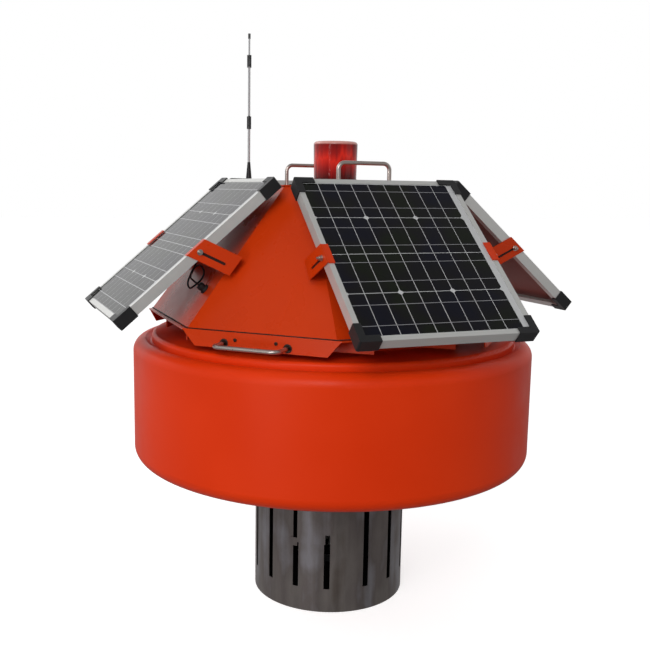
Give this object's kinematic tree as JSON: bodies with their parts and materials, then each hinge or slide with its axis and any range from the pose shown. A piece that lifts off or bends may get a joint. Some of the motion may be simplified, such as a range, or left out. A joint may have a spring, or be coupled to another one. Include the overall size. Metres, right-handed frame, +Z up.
{
  "type": "water quality monitoring buoy",
  "caption": "Drum-shaped float with a sheet-metal cabin, tilting solar panels, beacon, antenna, lifting handles and a slotted steel cage round its sensors.",
  "frame": {"origin": "middle of the cage's open end, on the surface that the buoy parks on", "axes": "+Z up along the buoy's axis, -Y out through the front solar panel, +X to the right"},
  "size_m": [1.2696, 1.2696, 1.5245],
  "materials": {
    "float_plastic": "rotomoulded orange-red polyethylene, satin",
    "cabin_paint": "orange powder coat on folded sheet",
    "cage_steel": "rolled stainless with heat tint and weld marks",
    "handle_steel": "bent stainless rod, satin",
    "clamp_steel": "zinc-plated and stainless fasteners",
    "frame_aluminium": "clear anodised extrusion",
    "pane_glass": "tempered glass, clear",
    "cell_silicon": "dark monocrystalline cells on a pale sheet",
    "cap_plastic": "black moulded plastic",
    "box_plastic": "black moulded plastic",
    "beacon_plastic": "black moulded plastic",
    "beacon_red": "red translucent polycarbonate",
    "lamp_plastic": "white lamp column",
    "antenna_rubber": "black rubber",
    "antenna_rod": "light grey rod with black sleeves",
    "sonde_plastic": "dark grey moulded plastic",
    "guard_plastic": "black moulded plastic",
    "probe_metal": "titanium probe tips",
    "battery_plastic": "dark grey plastic case",
    "gland_plastic": "black nylon",
    "lead_rubber": "black rubber-sheathed two-core lead"
  },
  "bodies": {
    "buoy": {"sensor_cage": "cage_steel", "cage_patch": "cage_steel", "clamp_plate": "cage_steel", "mooring_eyes": "cage_steel", "sonde_collar": "sonde_plastic", "sonde_body": "sonde_plastic", "sonde_guard": "guard_plastic", "probe_tips": "probe_metal", "float_hull": "float_plastic", "cabin_base": "cabin_paint", "cabin_shell": "cabin_paint", "cabin_lid": "cabin_paint", "battery_box": "battery_plastic", "lid_handle_front": "handle_steel", "lid_handle_rear": "handle_steel", "skirt_handles": "handle_steel", "beacon_base": "beacon_plastic", "beacon_lens": "beacon_red", "beacon_lamp": "lamp_plastic", "antenna_plate": "handle_steel", "antenna_foot": "antenna_rubber", "antenna_whip": "antenna_rod", "cable_glands": "gland_plastic", "front_brackets": "cabin_paint", "front_panel_lead": "lead_rubber", "right_brackets": "cabin_paint", "right_panel_lead": "lead_rubber", "rear_brackets": "cabin_paint", "rear_panel_lead": "lead_rubber", "left_brackets": "cabin_paint", "left_panel_lead": "lead_rubber"},
    "front_panel": {"front_panel_frame": "frame_aluminium", "front_panel_pane": "pane_glass", "front_panel_cells": "cell_silicon", "front_panel_caps": "cap_plastic", "front_junction_box": "box_plastic", "front_panel_clamps": "clamp_steel"},
    "right_panel": {"right_panel_frame": "frame_aluminium", "right_panel_pane": "pane_glass", "right_panel_cells": "cell_silicon", "right_panel_caps": "cap_plastic", "right_junction_box": "box_plastic", "right_panel_clamps": "clamp_steel"},
    "rear_panel": {"rear_panel_frame": "frame_aluminium", "rear_panel_pane": "pane_glass", "rear_panel_cells": "cell_silicon", "rear_panel_caps": "cap_plastic", "rear_junction_box": "box_plastic", "rear_panel_clamps": "clamp_steel"},
    "left_panel": {"left_panel_frame": "frame_aluminium", "left_panel_pane": "pane_glass", "left_panel_cells": "cell_silicon", "left_panel_caps": "cap_plastic", "left_junction_box": "box_plastic", "left_panel_clamps": "clamp_steel"}
  },
  "joints": [
    {"name": "front_panel_tilt", "type": "hinge", "parent": "buoy", "child": "front_panel", "pos_m": [0, -0.43318, 0.95932], "axis": [1, 0, 0], "range_deg": [-3, 18], "deforming": ["front_panel_lead"]},
    {"name": "right_panel_tilt", "type": "hinge", "parent": "buoy", "child": "right_panel", "pos_m": [0.43318, 0, 0.95932], "axis": [0, 1, 0], "range_deg": [-3, 18], "deforming": ["right_panel_lead"]},
    {"name": "rear_panel_tilt", "type": "hinge", "parent": "buoy", "child": "rear_panel", "pos_m": [0, 0.43318, 0.95932], "axis": [-1, 0, 0], "range_deg": [-3, 18], "deforming": ["rear_panel_lead"]},
    {"name": "left_panel_tilt", "type": "hinge", "parent": "buoy", "child": "left_panel", "pos_m": [-0.43318, 0, 0.95932], "axis": [0, -1, 0], "range_deg": [-3, 18], "deforming": ["left_panel_lead"]}
  ]
}
